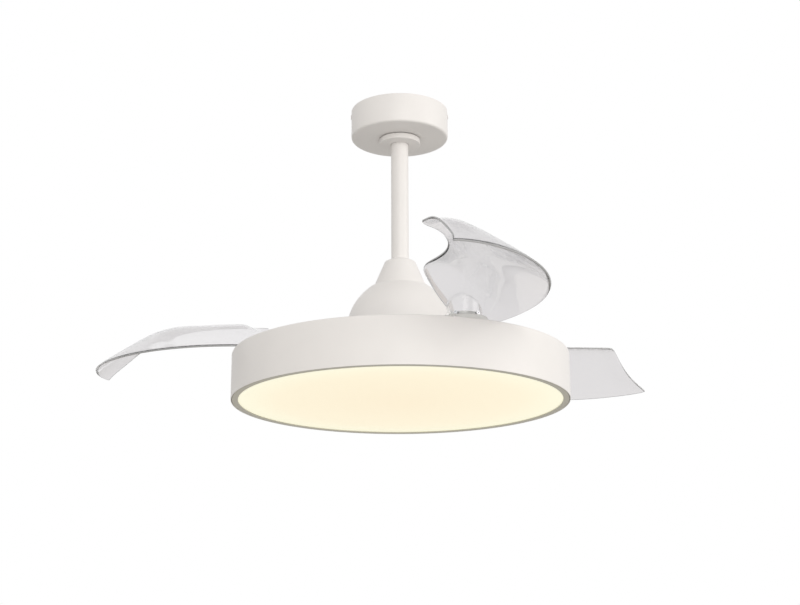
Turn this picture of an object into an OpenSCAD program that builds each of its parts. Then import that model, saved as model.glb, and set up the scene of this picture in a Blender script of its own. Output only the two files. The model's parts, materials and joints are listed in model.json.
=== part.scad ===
// Retractable blade ceiling fan with a drum lamp below the blades.
// Origin: centre of the hanger bracket's top face, on the ceiling. +Z is up, +X to the right and
// +Y away from someone who looks at the fan's front. Lengths are in millimetres.
// Inside the modules heights are counted up from the lamp face, and lift() moves a piece to the ceiling.
// The blades are drawn opened, as they stand while the fan runs.

/* [Overall] */
// Drop from the ceiling to the lamp face
overall_h = 464; // [420:1:900]

/* [Canopy and hanger] */
// Canopy diameter
canopy_d = 150; // [130:1:180]
// Canopy height
canopy_h = 45.6; // [42:0.1:60]
// Sheet thickness of canopy, bell and drum
sheet = 1; // [0.8:0.1:1.5]
// Hole-to-hole distance of the ceiling screws
bracket_pitch = 88.9; // [80:0.1:100]
// Radius of a ceiling screw hole
bracket_hole_r = 2.75; // [2.25:0.05:3.25]
// Hanger ball radius
ball_r = 22; // [20:0.5:24]
// Down rod outer diameter
rod_d = 26.7; // [19:0.1:34]
// Trim collar diameter
collar_d = 64; // [56:1:70]
// Trim collar height
collar_h = 8; // [6:0.5:14]

/* [Lamp drum] */
// Drum diameter
drum_d = 500; // [460:1:520]
// Drum height
drum_h = 68.5; // [66:0.5:68.5]
// Width of the grey trim ring around the diffuser
trim_w = 9; // [6:0.5:14]
// Twist that frees the diffuser
cover_twist = 14; // [12:1:15]

/* [Bell and coupling cover] */
// Bell radius at its open rim
bell_r = 82; // [80:0.5:88]
// Radius of the bell's shoulder, where its dome ends
shoulder_r = 45.7; // [44:0.1:48]
// Height of the bell's shoulder
shoulder_h = 176.4; // [175.4:0.1:177.4]
// Lower radius of the coupling cover
cone_r = 40.5; // [38:0.5:43]

/* [Blades] */
// Number of blades
blade_n = 3; // [3:1:3]
// Distance of a blade pivot from the fan axis
pivot_r = 203; // [203:1:203]
// Azimuth of the first blade's pivot
pivot_az = 55.6; // [40:0.1:70]
// Turn from open to folded
fold_deg = 108.6; // [90:0.1:110]
// Blade wall thickness
blade_t = 2.5; // [2:0.5:4]
// Outer edge radius about the blade's own arc centre
blade_outer_r = 249; // [240:1:249]
// Inner edge radius about the same centre
blade_inner_r = 116.8; // [112:0.1:125]
// Height of the low edge
edge_low_h = 78; // [78:0.5:84]
// Rise from the low edge to the crest
crest_rise = 60; // [50:1:64]

/* [Gears] */
// Tooth module
gear_m = 2; // [2:1:2]
// Teeth of a full blade gear
blade_teeth = 35; // [35:1:35]
// Teeth of a full synchronising ring
ring_teeth = 168; // [168:3:168]
// Backlash at the pitch circle
backlash = 0.3; // [0.2:0.05:0.5]

/* [Motor] */
// Hollow shaft radius
shaft_r = 8.5; // [8:0.5:10]
// Shaft bore radius for the lead
shaft_bore_r = 5.2; // [4.5:0.1:6]
// Stator radius
stator_r = 61; // [55:1:61]
// Stator teeth
stator_n = 12; // [9:3:18]

/* [Hidden] */
$fn = 96;

run_gap = 0.05;          // radial clearance of a running fit
rod_r = rod_d / 2;
canopy_r = canopy_d / 2;
canopy_low = overall_h - canopy_h;
ball_c = overall_h - 22; // height of the ball's centre
ball_top = ball_c + 10;
ball_low = ball_c - 18;
rod_top = ball_top + 0.5;
strap_t = 2;             // bracket sheet
strap_w = 36;
saddle_h = ball_c - 18;  // underside of the bracket's saddle
saddle_slot = 31;        // side opening that lets the rod in
leg_x = 33;              // outer face of a bracket leg
tab_x = 70;              // outer face of a bracket ear
neck_r = 35;             // raised middle of the bell's top, inside the coupling cover
neck_h = 6.6;
bell_low = 92;           // open rim of the bell
bell_top_h = shoulder_h + neck_h;
bell_fullness = 3.1;     // a higher value gives a fuller dome
coupling_top = bell_top_h + 34.6;
cone_h = shoulder_h + 0.6;   // lower edge of the coupling cover
cone_bend_r = 23.4;      // the cover bends in towards the rod here
cone_top = coupling_top + 4;
coupling_r = 18.5;
rod_low = bell_top_h + 10;
clevis_h = bell_top_h + 25;
pin_hole_r = 3.2;        // clevis pin
lead_r = 2.4;            // supply lead
lead_y = pin_hole_r + lead_r + 0.3; // the lead passes the pins on their far side
drum_r = drum_d / 2;
plate_r = 75;            // lamp plate
plate_t = 3;
plate_top = drum_h - sheet;
latch_arc = cover_twist - 3; // bayonet blocks, a little shorter than the twist
board_h = 40;            // underside of the lamp's circuit board
board_t = 1.6;
board_r = 214;
led_rings = [60, 120, 180];
carrier_h = 70;          // underside of the blade carrier
carrier_t = 2.5;
carrier_top = carrier_h + carrier_t;
carrier_r = 158;
ring_low = carrier_top + 0.5;
ring_t = 3;
ring_in = 150;
guide_r = 4;
lug_az = 10;             // spring lug, counted from a blade pivot
lug_r = 133;
ring_turn = fold_deg * blade_teeth / ring_teeth;
hub_low = carrier_top + 0.4;
gear_t = 5.6;
root_low = hub_low + gear_t;  // lower rim of a blade's root wall, on the gear's top face
root_r = 24;             // round wall that hangs from the skin and caps the hub's plate
root_wall_t = 2.5;
plate_fit = 0.2;         // gap between that wall and the plate
hub_top = root_low + 6.5;
pin_r = 5;
bush_r = 7;
blade_screw_r = 1.5;
blade_screw_h = root_low + 4.2;
blade_screw_az = [-75, 0, 75]; // on the high side of the root wall
spring_h = ring_low + ring_t + 1.6;
post_r = 1.8;            // posts that hold the springs
step_az = 360 / blade_n;
pivot = pivot_r * [cos(pivot_az), sin(pivot_az)];
// Centre of the blade's arcs when open: the fan axis turned back about the pivot.
arc_c = pivot + [-pivot[0] * cos(fold_deg) + pivot[1] * sin(fold_deg),
                 -pivot[0] * sin(fold_deg) - pivot[1] * cos(fold_deg)];
white = [0.93, 0.92, 0.89];
steel = [0.72, 0.72, 0.73];
dark = [0.16, 0.16, 0.17];
clear = [0.80, 0.82, 0.82, 0.55];

module lift() translate([0, 0, -overall_h]) children();
module around(n, r = 0, a0 = 0) for (i = [0 : n - 1]) rotate([0, 0, a0 + i * 360 / n])
  translate([r, 0, 0]) children();
module at_pivots(a = 0) for (i = [0 : blade_n - 1]) rotate([0, 0, pivot_az + a + i * step_az]) children();
module tube(r, bore, h0, h1) translate([0, 0, h0]) difference() {
  cylinder(r = r, h = h1 - h0);
  translate([0, 0, -1]) cylinder(r = bore, h = h1 - h0 + 2);
}
// Pan-head screw pointing down, the underside of its head at the origin.
module screw(r, len, head_r, head_h) difference() {
  union() {
    cylinder(r = head_r, h = head_h, $fn = 32);
    translate([0, 0, -len]) cylinder(r = r, h = len + 0.1, $fn = 32);
  }
  translate([0, 0, head_h * 0.45]) cylinder(r = head_r * 0.45, h = head_h, $fn = 6);
}

// ---- ceiling side ----

module hanger_bracket() color(steel) lift() difference() {
  union() {
    translate([-tab_x, -strap_w / 2, overall_h - strap_t]) cube([2 * tab_x, strap_w, strap_t]);
    for (s = [-1, 1]) {
      translate([s > 0 ? leg_x - strap_t : -leg_x, -strap_w / 2, saddle_h])
        cube([strap_t, strap_w, overall_h - saddle_h - strap_t / 2]);
      translate([s > 0 ? tab_x - strap_t : -tab_x, -10, overall_h - 16]) cube([strap_t, 20, 15]);
    }
    translate([-leg_x, -strap_w / 2, saddle_h]) cube([2 * leg_x, strap_w, strap_t]);
    // key that stops the ball from turning
    translate([-1.8, 16, saddle_h]) cube([3.6, 2, 16]);
  }
  for (s = [-1, 1]) {
    translate([s * bracket_pitch / 2, 0, overall_h - 5]) cylinder(r = bracket_hole_r, h = 10);
    translate([s * tab_x, 0, overall_h - 8]) rotate([0, 90, 0]) cylinder(r = 1.9, h = 10, center = true);
  }
  translate([-58, 0, overall_h - 5]) cylinder(r = 2, h = 10);
  // wire window in the right leg
  translate([leg_x - 5, lead_y, overall_h - 7]) rotate([0, 90, 0]) cylinder(r = 4.2, h = 10);
  // way in for the down rod
  translate([0, 0, saddle_h - 1]) cylinder(r = saddle_slot / 2, h = strap_t + 2);
  translate([-saddle_slot / 2, -strap_w, saddle_h - 1]) cube([saddle_slot, strap_w, strap_t + 2]);
}

module ball_seat() color(dark) lift() difference() {
  translate([0, 0, saddle_h + strap_t]) cylinder(r = 27, h = 11);
  translate([0, 0, ball_c]) sphere(r = ball_r + 0.3);
  translate([0, 0, saddle_h]) cylinder(r = saddle_slot / 2, h = 20);
  translate([-saddle_slot / 2, -40, saddle_h]) cube([saddle_slot, 40, 20]);
  translate([-2.2, 14, saddle_h]) cube([4.4, 6, 20]);
}

module canopy() color(white) lift() difference() {
  rotate_extrude() polygon([[28, canopy_low], [canopy_r - 4, canopy_low],
    [canopy_r - 1.2, canopy_low + 1.2], [canopy_r, canopy_low + 4],
    [canopy_r, overall_h - 0.2], [canopy_r - sheet, overall_h - 0.2],
    [canopy_r - sheet, canopy_low + 4.4], [canopy_r - 2.1, canopy_low + 2.1],
    [canopy_r - 4.4, canopy_low + sheet], [28, canopy_low + sheet]]);
  for (s = [-1, 1]) translate([s * (canopy_r - 6), 0, overall_h - 8]) rotate([0, 90, 0])
    translate([0, 0, -1]) cylinder(r = 2.4, h = 14, center = true);
}

module canopy_screws() color(white) lift() for (s = [0, 180]) rotate([0, 0, s])
  translate([canopy_r + 0.1, 0, overall_h - 8]) rotate([0, 90, 0]) screw(1.85, 9, 3.6, 0.9);

module terminal_block() color([0.85, 0.84, 0.78]) lift() difference() {
  translate([50, -14, overall_h - strap_t - 12]) cube([14, 28, 12]);
  for (y = [-9, 0]) translate([57, y, overall_h - strap_t - 13]) cylinder(r = 2, h = 8);
  translate([49, lead_y, overall_h - 7]) rotate([0, 90, 0]) cylinder(r = 3, h = 8);
}

module ground_screw() color([0.25, 0.5, 0.3]) lift()
  translate([-58, 0, overall_h - strap_t]) mirror([0, 0, 1]) screw(1.95, strap_t - 0.2, 4, 2.4);

// ---- hanging column ----

module hanger_ball() color(dark) lift() difference() {
  translate([0, 0, ball_c]) sphere(r = ball_r);
  translate([-30, -30, ball_top]) cube([60, 60, 30]);
  translate([-30, -30, ball_low - 30]) cube([60, 60, 30]);
  translate([0, 0, ball_low - 1]) cylinder(r = rod_r, h = 40);
  // key slot at the back, and the trough for the cross pin
  translate([-2.4, 15.3, ball_low - 1]) cube([4.8, 12, 40]);
  translate([-30, 0, ball_top - 6]) rotate([0, 90, 0]) cylinder(r = 3, h = 60, $fn = 48);
}

module ball_pin() color(steel) lift() translate([-17, 0, ball_top - 6]) rotate([0, 90, 0])
  cylinder(r = 3, h = 34, $fn = 48);

module downrod() color(white) lift() difference() {
  tube(rod_r, rod_r - 2, rod_low, rod_top);
  translate([-20, 0, ball_top - 6]) rotate([0, 90, 0]) cylinder(r = 3, h = 40, $fn = 48);
  translate([-20, 0, clevis_h]) rotate([0, 90, 0]) cylinder(r = pin_hole_r, h = 40, $fn = 48);
}

module coupling() color(steel) lift() difference() {
  rotate_extrude() polygon([[shaft_r, bell_top_h - 14], [15.5, bell_top_h - 14], [15.5, bell_top_h],
    [31, bell_top_h], [31, bell_top_h + 4], [coupling_r, bell_top_h + 7], [coupling_r, coupling_top],
    [rod_r, coupling_top], [rod_r, rod_low], [shaft_r, rod_low]]);
  translate([-30, 0, clevis_h]) rotate([0, 90, 0]) cylinder(r = pin_hole_r, h = 60, $fn = 48);
  for (a = [90, 270]) rotate([0, 0, a]) translate([10, 0, clevis_h - 7]) rotate([0, 90, 0])
    cylinder(r = 3, h = 20, $fn = 48);
  around(3, 26, 30) translate([0, 0, bell_top_h - 1]) cylinder(r = 2.1, h = 8);
}

module clevis_pin() color(steel) lift() translate([-20.5, 0, clevis_h]) rotate([0, 90, 0]) {
  difference() {
    union() {
      cylinder(r = pin_hole_r, h = 42, $fn = 48);
      translate([0, 0, -1.8]) cylinder(r = 5, h = 1.9, $fn = 48);
    }
    translate([0, 0, 40.2]) rotate([90, 0, 0]) cylinder(r = 0.9, h = 20, center = true, $fn = 24);
  }
}

module cotter_pins() color(steel) lift() translate([19.7, 0, clevis_h]) {
  rotate([90, 0, 0]) cylinder(r = 0.8, h = 16, center = true, $fn = 24);
  translate([0, -10, 0]) rotate([0, 90, 0]) rotate_extrude() translate([2, 0]) circle(r = 0.8, $fn = 24);
}

module coupling_screws() color(dark) lift() for (a = [90, 270]) rotate([0, 0, a])
  translate([rod_r + 0.1, 0, clevis_h - 7]) rotate([0, 90, 0]) difference() {
    cylinder(r = 3, h = 6, $fn = 48);
    translate([0, 0, 3]) cylinder(r = 1.6, h = 4, $fn = 6);
  }

module motor_shaft() color(steel) lift() union() {
  tube(shaft_r, shaft_bore_r, 54, rod_low);
  // shoulders that locate stator and bearings
  tube(11, shaft_r - 0.5, 92.2, 97);
  tube(11, shaft_r - 0.5, 135, 139.8);
}

module stator_core() color([0.45, 0.46, 0.5]) lift() difference() {
  translate([0, 0, 103]) cylinder(r = stator_r, h = 26);
  translate([0, 0, 100]) cylinder(r = shaft_r, h = 40);
  around(stator_n, 0, 180 / stator_n) {
    translate([26, -5, 100]) cube([8, 10, 40]);
    translate([33, -7, 100]) cube([12, 14, 40]);
    translate([44, -10, 100]) cube([11, 20, 40]);
    translate([50, -1.4, 100]) cube([15, 2.8, 40]);
  }
}

module stator_coils() color([0.72, 0.42, 0.2]) lift() around(stator_n) difference() {
  translate([28, -6.6, 98]) cube([25, 13.2, 36]);
  translate([27, -4.8, 102.9]) cube([27, 9.6, 26.2]);
}

// The bell's dome from its rim (u = 0) to its shoulder (u = 1); d moves it inward.
bell_steps = 18;
function dome(u, d) = let (r0 = bell_r - d, r1 = shoulder_r - 0.6 * d)
  [r1 + (r0 - r1) * (1 - 0.08 * u - 0.92 * pow(u, bell_fullness)), bell_low + (shoulder_h - d - bell_low) * u];
function dome_u(i) = sin(90 * i / bell_steps);

module bell() color(white) lift() difference() {
  rotate_extrude() polygon(concat([[16, bell_top_h], [neck_r, bell_top_h], [neck_r, shoulder_h]],
    [for (i = [bell_steps : -1 : 0]) dome(dome_u(i), 0)],
    [for (i = [0 : bell_steps]) dome(dome_u(i), sheet)],
    [[neck_r - sheet, shoulder_h - sheet], [neck_r - sheet, bell_top_h - sheet], [16, bell_top_h - sheet]]));
  around(3, 26, 30) translate([0, 0, bell_top_h - 5]) cylinder(r = 2.1, h = 8);
}

module bell_screws() color(steel) lift() around(3, 26, 30)
  translate([0, 0, bell_top_h - sheet]) mirror([0, 0, 1]) screw(2.05, sheet + 3.8, 4, 2.4);

module lamp_plate() color(steel) lift() difference() {
  translate([0, 0, plate_top - plate_t]) cylinder(r = plate_r, h = plate_t);
  translate([0, 0, plate_top - 10]) cylinder(r = shaft_r, h = 20);
  around(4, 66, 45) translate([0, 0, plate_top - 10]) cylinder(r = 2.1, h = 20);
}

module shaft_nut() color(steel) lift() difference() {
  union() {
    translate([0, 0, plate_top - plate_t - 9]) cylinder(r = 14.5, h = 8, $fn = 6);
    translate([0, 0, plate_top - plate_t - 1.5]) cylinder(r = 17, h = 1.5);
  }
  translate([0, 0, 40]) cylinder(r = shaft_r, h = 40);
}

module drum_shell() color(white) lift() {
  difference() {
    rotate_extrude($fn = 180) polygon([[60, drum_h], [drum_r - 2, drum_h], [drum_r, drum_h - 2],
      [drum_r, 0], [drum_r - sheet, 0], [drum_r - sheet, drum_h - 2.5], [drum_r - 2.5, plate_top],
      [60, plate_top]]);
    around(4, 66, 45) translate([0, 0, drum_h - 5]) cylinder(r = 2.1, h = 10);
    around(4, 180, 20) translate([0, 0, drum_h - 5]) cylinder(r = 1.6, h = 10);
  }
  // bayonet tabs on the wall
  around(4, 0, -latch_arc / 2) translate([0, 0, 8.5]) rotate_extrude(angle = latch_arc, $fn = 180)
    translate([244, 0]) square([drum_r - sheet - 244 + 0.2, 3.5]);
}

module drum_screws() color(steel) lift() around(4, 66, 45)
  translate([0, 0, plate_top - plate_t]) mirror([0, 0, 1]) screw(2.05, plate_t + sheet, 4, 2.6);

module board_spacers() color(steel) lift() around(4, 180, 20) {
  translate([0, 0, board_h + board_t]) cylinder(r = 4, h = plate_top - board_h - board_t, $fn = 48);
  translate([0, 0, plate_top - 0.1]) cylinder(r = 1.55, h = sheet + 0.1, $fn = 32);
}

module led_board() color([0.94, 0.94, 0.92]) lift() difference() {
  translate([0, 0, board_h]) cylinder(r = board_r, h = board_t);
  translate([0, 0, board_h - 1]) cylinder(r = 24, h = 4);
}

module leds() color([1, 0.86, 0.55]) lift() for (k = [0 : 2]) around(12 * (k + 1), led_rings[k])
  translate([-1.75, -1.75, board_h - 0.8]) cube([3.5, 3.5, 0.8]);

module led_driver() color([0.90, 0.90, 0.88]) lift()
  translate([90, -24, plate_top - 22]) cube([104, 48, 22]);

module receiver() color([0.90, 0.90, 0.88]) lift()
  translate([-188, -26, plate_top - 19]) cube([94, 52, 19]);

// The lead climbs the shaft, slants aside to pass both cross pins and turns to the terminal block.
slant_low = rod_low - 9;
slant_h = 20.5;
slant_deg = atan(lead_y / slant_h);
module supply_lead() color(dark) lift() {
  translate([0, 0, 46]) cylinder(r = lead_r, h = slant_low - 45, $fn = 32);
  translate([0, 0, slant_low]) rotate([-slant_deg, 0, 0])
    cylinder(r = lead_r - 0.1, h = slant_h / cos(slant_deg), $fn = 32);
  translate([0, lead_y, slant_low + slant_h - 1])
    cylinder(r = lead_r, h = overall_h - 14 - slant_low - slant_h, $fn = 32);
  translate([8, lead_y, overall_h - 15]) rotate([90, 0, 0]) rotate([0, 0, 90]) rotate_extrude(angle = 90)
    translate([8, 0]) circle(r = lead_r, $fn = 32);
  translate([8, lead_y, overall_h - 7]) rotate([0, 90, 0]) cylinder(r = lead_r, h = 44, $fn = 32);
}

module rod_collar() color(white) lift() translate([0, 0, canopy_low - 1.4 - collar_h]) difference() {
  union() {
    cylinder(r = collar_d / 2 - 1, h = 1);
    translate([0, 0, 1]) cylinder(r = collar_d / 2, h = collar_h - 1);
  }
  translate([0, 0, -1]) cylinder(r = rod_r + 0.4, h = collar_h + 2);
  translate([0, 0, collar_h / 2 - 1.2]) cylinder(r = rod_r + 2.1, h = 2.4);
  // the hollow top that hides the canopy's hole
  translate([0, 0, 4]) difference() {
    cylinder(r = collar_d / 2 - 1.5, h = 10);
    cylinder(r = 19, h = 30, center = true);
  }
}

module collar_o_ring() color(dark) lift() translate([0, 0, canopy_low - 1.4 - collar_h / 2])
  rotate_extrude() translate([rod_r + run_gap + 1, 0]) circle(r = 1, $fn = 32);

module coupling_cover() color(white) lift() rotate_extrude() polygon([[rod_r + 0.6, cone_top],
  [cone_bend_r, coupling_top], [cone_r, cone_h], [cone_r - sheet, cone_h],
  [cone_bend_r - sheet * 1.15, coupling_top - sheet * 0.5], [rod_r + 0.6, cone_top - sheet * 1.1]]);

// ---- rotor ----

module rotor_base() color([0.7, 0.71, 0.72]) lift() difference() {
  rotate_extrude() polygon([[11.5, carrier_top], [72, carrier_top], [72, 112], [65.9, 112], [65.9, 78],
    [24, 78], [24, 92], [20, 92], [20, 80], [11.5, 80]]);
  around(6, 50, 0) translate([0, 0, carrier_top - 1]) cylinder(r = 1.9, h = 10);
  around(4, 69, 15) translate([0, 0, 100]) cylinder(r = 1.5, h = 20);
}

module rotor_cover() color([0.7, 0.71, 0.72]) lift() difference() {
  rotate_extrude() polygon([[65.9, 112], [72, 112], [72, 134], [64, 134], [48, 147], [24, 147], [24, 153],
    [12.5, 153], [12.5, 152], [20, 152], [20, 140], [24, 140], [24, 143.5], [47, 143.5], [62, 131.5],
    [65.9, 129]]);
  around(4, 69, 15) translate([0, 0, 100]) cylinder(r = 1.5, h = 50);
}

module rotor_screws() color(steel) lift() around(4, 69, 15)
  translate([0, 0, 134]) screw(1.5, 30, 2.8, 2);

module magnet_ring() color(dark) lift() tube(65.9, stator_r + 1, 104, 128);

module bearings() color([0.8, 0.81, 0.83]) lift() for (h = [80, 140])
  tube(20, shaft_r + run_gap, h, h + 12);

// Carrier outline: a disc, an ear under every blade pivot, and weight-saving windows.
module blade_carrier() color([0.62, 0.63, 0.65]) lift() difference() {
  union() {
    translate([0, 0, carrier_h]) cylinder(r = carrier_r, h = carrier_t);
    at_pivots() {
      translate([150, -24, carrier_h]) cube([pivot_r - 150, 48, carrier_t]);
      translate([pivot_r, 0, carrier_h]) cylinder(r = 24, h = carrier_t);
    }
  }
  translate([0, 0, carrier_h - 1]) cylinder(r = 22, h = 5);
  at_pivots() translate([pivot_r, 0, carrier_h - 1]) cylinder(r = 4, h = 5);
  around(6, 50, 0) translate([0, 0, carrier_h - 1]) cylinder(r = 2.1, h = 5);
  around(6, 50, 0) translate([0, 0, carrier_h - 0.01]) cylinder(r1 = 3.6, r2 = 2.1, h = 1.5);
  around(6, 96, 25.6) translate([0, 0, carrier_h - 1]) cylinder(r = 15, h = 5);
}

module carrier_screws() color(steel) lift() around(6, 50, 0) {
  translate([0, 0, carrier_h]) cylinder(r1 = 3.5, r2 = 2, h = 1.5, $fn = 32);
  translate([0, 0, carrier_h + 1.4]) cylinder(r = 1.9, h = 8, $fn = 32);
}

module pivot_pins() color(steel) lift() at_pivots() translate([pivot_r, 0, 0]) {
  translate([0, 0, carrier_h - 1]) cylinder(r = 6, h = 1, $fn = 48);
  translate([0, 0, carrier_h - 0.1]) cylinder(r = 4, h = carrier_t + 0.2, $fn = 48);
  translate([0, 0, carrier_top]) cylinder(r = pin_r, h = hub_top + 0.5 - carrier_top, $fn = 96);
  translate([0, 0, hub_top + 0.4]) cylinder(r = 8.5, h = 1.2, $fn = 48);
  translate([0, 0, hub_top + 1.5]) cylinder(r = 4, h = 1.6, $fn = 48);
}

module ring_guides() color([0.9, 0.9, 0.86]) lift() at_pivots(60)
  translate([ring_in - guide_r - run_gap, 0, carrier_top]) {
    cylinder(r = guide_r, h = ring_t + 0.8, $fn = 64);
    translate([0, 0, ring_t + 0.7]) cylinder(r = 8, h = 1, $fn = 64);
  }

module stop_bumpers() color(dark) lift() for (a = [lug_az - 3.45, lug_az + ring_turn + 3.45]) at_pivots(a)
  translate([140, 0, carrier_top]) cylinder(r = 4, h = ring_t + 0.6, $fn = 48);

// Headed post from a base height up to the springs.
module spring_post(base) {
  translate([0, 0, base]) cylinder(r = post_r, h = spring_h + 1 - base, $fn = 32);
  translate([0, 0, spring_h + 0.9]) cylinder(r = 3.2, h = 0.9, $fn = 32);
}

module spring_pegs() color(steel) lift() at_pivots(lug_az + 2 * spring_az)
  translate([lug_r, 0, 0]) spring_post(carrier_top);

// Stretched tension spring drawn as a plain sleeve with a hook eye at each end.
spring_az = 22;          // half the angle between its two posts
spring_len = 2 * lug_r * sin(spring_az);
eye_r = 2.9;
wire_r = 0.6;
module return_springs() color([0.55, 0.56, 0.58]) lift() at_pivots(lug_az + spring_az)
  translate([lug_r * cos(spring_az), 0, spring_h]) rotate([90, 0, 0]) {
    cylinder(r = 2.2, h = spring_len - 14, center = true, $fn = 48);
    for (s = [-1, 1]) {
      translate([0, 0, s * spring_len / 2]) rotate([90, 0, 0]) rotate_extrude()
        translate([eye_r, 0]) circle(r = wire_r, $fn = 24);
      translate([0, 0, s * (spring_len / 2 - eye_r - 2.3)])
        cylinder(r = wire_r, h = 4.6, center = true, $fn = 24);
    }
  }

// Involute tooth flank: polar angle at radius r of a gear with n teeth, from the tooth's middle.
function base_r(n) = gear_m * n / 2 * cos(20);
function inv_deg(x) = tan(x) * 180 / PI - x;
function flank(n, r) = 90 / n - backlash / 2 / (gear_m * n / 2) * 180 / PI + inv_deg(20)
  - (r <= base_r(n) ? 0 : inv_deg(acos(base_r(n) / r)));
function tooth_r(n, k) = let (p = gear_m * n / 2) max(base_r(n), p - 1.22 * gear_m)
  + k / 4 * (p + 0.94 * gear_m - max(base_r(n), p - 1.22 * gear_m));
function pol(r, a) = [r * cos(a), r * sin(a)];
// One sector of teeth, tooth middles at a0 + i * pitch for i from i0 to i1.
module teeth(n, a0, i0, i1, deep) {
  p = gear_m * n / 2;
  foot = p - 1.25 * gear_m;
  polygon(concat([pol(foot - deep, a0 + (i0 - 0.5) * 360 / n)],
    [for (i = [i0 : i1]) each concat([pol(foot, a0 + i * 360 / n - flank(n, foot))],
      [for (k = [0 : 4]) pol(tooth_r(n, k), a0 + i * 360 / n - flank(n, tooth_r(n, k)))],
      [for (k = [4 : -1 : 0]) pol(tooth_r(n, k), a0 + i * 360 / n + flank(n, tooth_r(n, k)))],
      [pol(foot, a0 + i * 360 / n + flank(n, foot))])],
    [for (i = [i1 : -1 : i0]) pol(foot - deep, a0 + (i + 0.5) * 360 / n)]));
}

module sync_ring() color([0.82, 0.82, 0.8]) lift() {
  tube(ring_teeth - 1.25 * gear_m - 0.4, ring_in, ring_low, ring_low + ring_t);
  at_pivots() translate([0, 0, ring_low]) linear_extrude(ring_t) teeth(ring_teeth, 0, -13, 3, 3);
  at_pivots(lug_az) {
    translate([lug_r - 5, -4, ring_low]) cube([ring_in - lug_r + 7, 8, ring_t]);
    translate([lug_r, 0, 0]) spring_post(ring_low + ring_t - 0.1);
  }
}

// ---- blades ----

function smooth(x) = let (c = min(1, max(0, x))) c * c * (3 - 2 * c);
// Along the blade s runs from root 0 to tip 1, across it t runs from inner edge 0 to outer edge 1.
function corner(s) = let (u = min(1, max(0, (s - 0.9) / 0.1))) 1 - sqrt(1 - u * u * 0.998);
function inner_r(s) = blade_inner_r + 5 * s + 24 * exp(-s / 0.055) + 9 * corner(s);
function outer_r(s) = blade_outer_r - 19 * pow(max(0, (s - 0.66) / 0.34), 2) - 6 * corner(s);
function root_az(t) = 169.5 - 1.5 * t + 6 * t * (1 - t);
function tip_az(t) = 71.2 - 9.4 * t + 9 * t * (1 - t);
function low_edge(s) = edge_low_h + blade_t / 2 + 4 * smooth((s - 0.6) / 0.4);
function rise(s) = crest_rise - 4 * exp(-s / 0.03) - 4 * smooth((s - 0.7) / 0.3);
// Height share across the blade: a plain slope at the root, a full crest with a drooping edge further out.
function root_across(t) = pow(1 - t, 1.7);
function mid_across(s, t) = 1 + 0.12 * t * pow(1 - t, 3) - smooth((t - 0.12) / 0.88)
  + 1.6 * pow(t, 4) * (1 - t)
  + 0.13 * sin(180 * t) * smooth((s - 0.35) / 0.3) * (1 - smooth((s - 0.88) / 0.12));
function across(s, t) = let (w = smooth(s / 0.18)) (1 - w) * root_across(t) + w * mid_across(s, t);
function skin(s, t) = let (r = inner_r(s) + (outer_r(s) - inner_r(s)) * t,
  a = root_az(t) + (tip_az(t) - root_az(t)) * s)
  [arc_c[0] + r * cos(a), arc_c[1] + r * sin(a), low_edge(s) + rise(s) * across(s, t)];
function unit(v) = v / norm(v);
function skin_normal(s, t) = let (e = 0.004, a = skin(min(1, s + e), t) - skin(max(0, s - e), t),
  b = skin(s, min(1, t + e)) - skin(s, max(0, t - e))) unit(cross(b, a));
blade_ns = 34;
blade_nt = 11;
// Stations crowd together at the root and at the tip.
function station(i) = let (x = i / blade_ns) x - 0.06 * sin(360 * x);

// Closed body between two matching grids of points, low ones first, with ns by nt cells.
module slab(low, high, ns, nt) {
  w = nt + 1;
  m = (ns + 1) * w;
  faces = concat(
    [for (i = [0 : ns - 1]) for (j = [0 : nt - 1]) let (a = i * w + j) each
      [[a, a + w, a + w + 1], [a, a + w + 1, a + 1],
       [m + a, m + a + w + 1, m + a + w], [m + a, m + a + 1, m + a + w + 1]]],
    [for (i = [0 : ns - 1]) let (a = i * w, b = i * w + nt) each
      [[a, m + a, m + a + w], [a, m + a + w, a + w],
       [b, m + b + w, m + b], [b, b + w, m + b + w]]],
    [for (j = [0 : nt - 1]) let (a = j, b = ns * w + j) each
      [[a, m + a + 1, m + a], [a, a + 1, m + a + 1],
       [b, m + b, m + b + 1], [b, m + b + 1, b + 1]]]);
  polyhedron(points = concat(low, high), faces = faces, convexity = 6);
}

module blade_skin() {
  grid = [for (i = [0 : blade_ns]) for (j = [0 : blade_nt]) [station(i), j / blade_nt]];
  mid = [for (g = grid) skin(g[0], g[1])];
  half = [for (g = grid) skin_normal(g[0], g[1]) * blade_t / 2];
  slab(mid + half, mid - half, blade_ns, blade_nt);
}

// Space below the middle of the skin around the pivot, down to the gear.
under_ns = 14;
under_nt = 10;
module under_skin(drop = 0) {
  high = [for (i = [0 : under_ns]) for (j = [0 : under_nt])
    skin(-0.04 + 0.26 * i / under_ns, 0.12 + 0.84 * j / under_nt) - [0, 0, drop]];
  slab([for (p = high) [p[0], p[1], root_low - 10]], high, under_ns, under_nt);
}

// Places of the blade screws on the root wall, +Z outwards.
module at_blade_screws() translate([pivot[0], pivot[1], blade_screw_h]) for (a = blade_screw_az)
  rotate([0, 0, a]) translate([root_r, 0, 0]) rotate([0, 90, 0]) children();

// Moulded clear blade in place 1: the curved skin, and the round wall under it that caps the hub.
module blade_piece() lift() difference() {
  union() {
    blade_skin();
    intersection() {
      translate([pivot[0], pivot[1], root_low]) difference() {
        cylinder(r = root_r, h = 60);
        translate([0, 0, -1]) cylinder(r = root_r - root_wall_t, h = 62);
      }
      under_skin();
    }
  }
  at_blade_screws() translate([0, 0, -5]) cylinder(r = blade_screw_r + 0.1, h = 6, $fn = 32);
  translate([pivot[0] - 60, pivot[1] - 60, 60]) cube([120, 120, root_low - 60]);
}

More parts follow.
